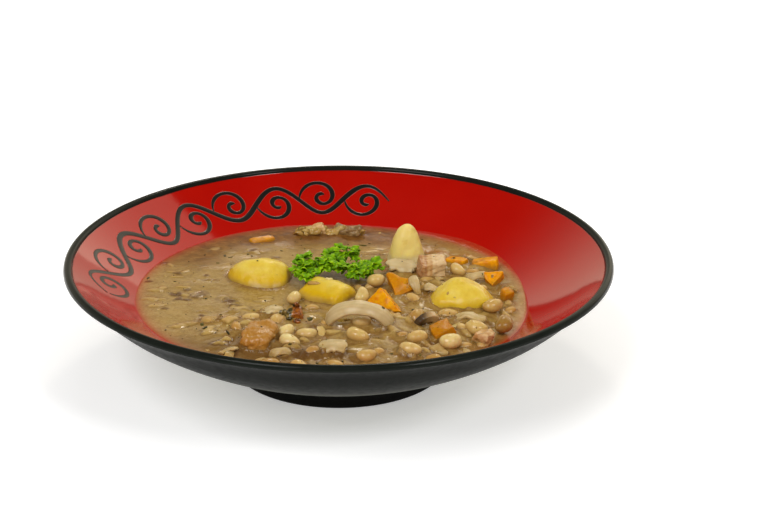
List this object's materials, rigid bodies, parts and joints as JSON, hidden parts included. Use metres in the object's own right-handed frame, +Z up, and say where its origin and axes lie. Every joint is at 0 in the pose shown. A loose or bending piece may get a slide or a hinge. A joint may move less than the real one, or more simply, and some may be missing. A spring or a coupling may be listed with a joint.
{
  "type": "bowl of bean stew with potato, carrot and ham",
  "caption": "Wide shallow glazed bowl on a foot ring, filled with a thick bean stew with potato, carrot, ham, mushroom and onion, topped with curly parsley.",
  "frame": {"origin": "middle of the foot ring's flat underside", "axes": "+Z up along the bowl's axis; -Y is the side with the heap of beans, +Y the far side with the standing potato"},
  "size_m": [0.27, 0.27, 0.06],
  "materials": {
    "glaze": "black glaze outside, red glaze inside, satin gloss",
    "broth": "wet, thick, cloudy",
    "potato": "boiled, moist",
    "carrot": "boiled, wet",
    "ham": "cooked, wet",
    "mushroom": "cooked, wet",
    "tomato": "cooked, wet",
    "onion": "cooked, translucent, wet",
    "bean": "cooked, wet skin",
    "parsley": "fresh leaf"
  },
  "bodies": {
    "root": {"bowl": "glaze", "stew": "broth", "potato_left": "potato", "potato_middle": "potato", "potato_back": "potato", "potato_right": "potato", "carrot_wedge": "carrot", "carrot_middle": "carrot", "carrot_right": "carrot", "carrot_front": "carrot", "carrot_edge": "carrot", "carrot_back_left": "carrot", "carrot_back_right": "carrot", "carrot_far_right": "carrot", "ham_cube": "ham", "ham_front": "ham", "ham_back_left": "ham", "ham_edge": "ham", "mushroom_back": "mushroom", "mushroom_slice": "mushroom", "tomato_piece": "tomato", "onion_petal": "onion", "onion_front": "onion", "onion_left": "onion", "onion_right": "onion", "onion_back": "onion", "parsley": "parsley", "bean_01": "bean", "bean_02": "bean", "bean_03": "bean", "bean_04": "bean", "bean_05": "bean", "bean_06": "bean", "bean_07": "bean", "bean_08": "bean", "bean_09": "bean", "bean_10": "bean", "bean_11": "bean", "bean_12": "bean", "bean_13": "bean", "bean_14": "bean", "bean_15": "bean", "bean_16": "bean", "bean_17": "bean"}
  },
  "joints": []
}
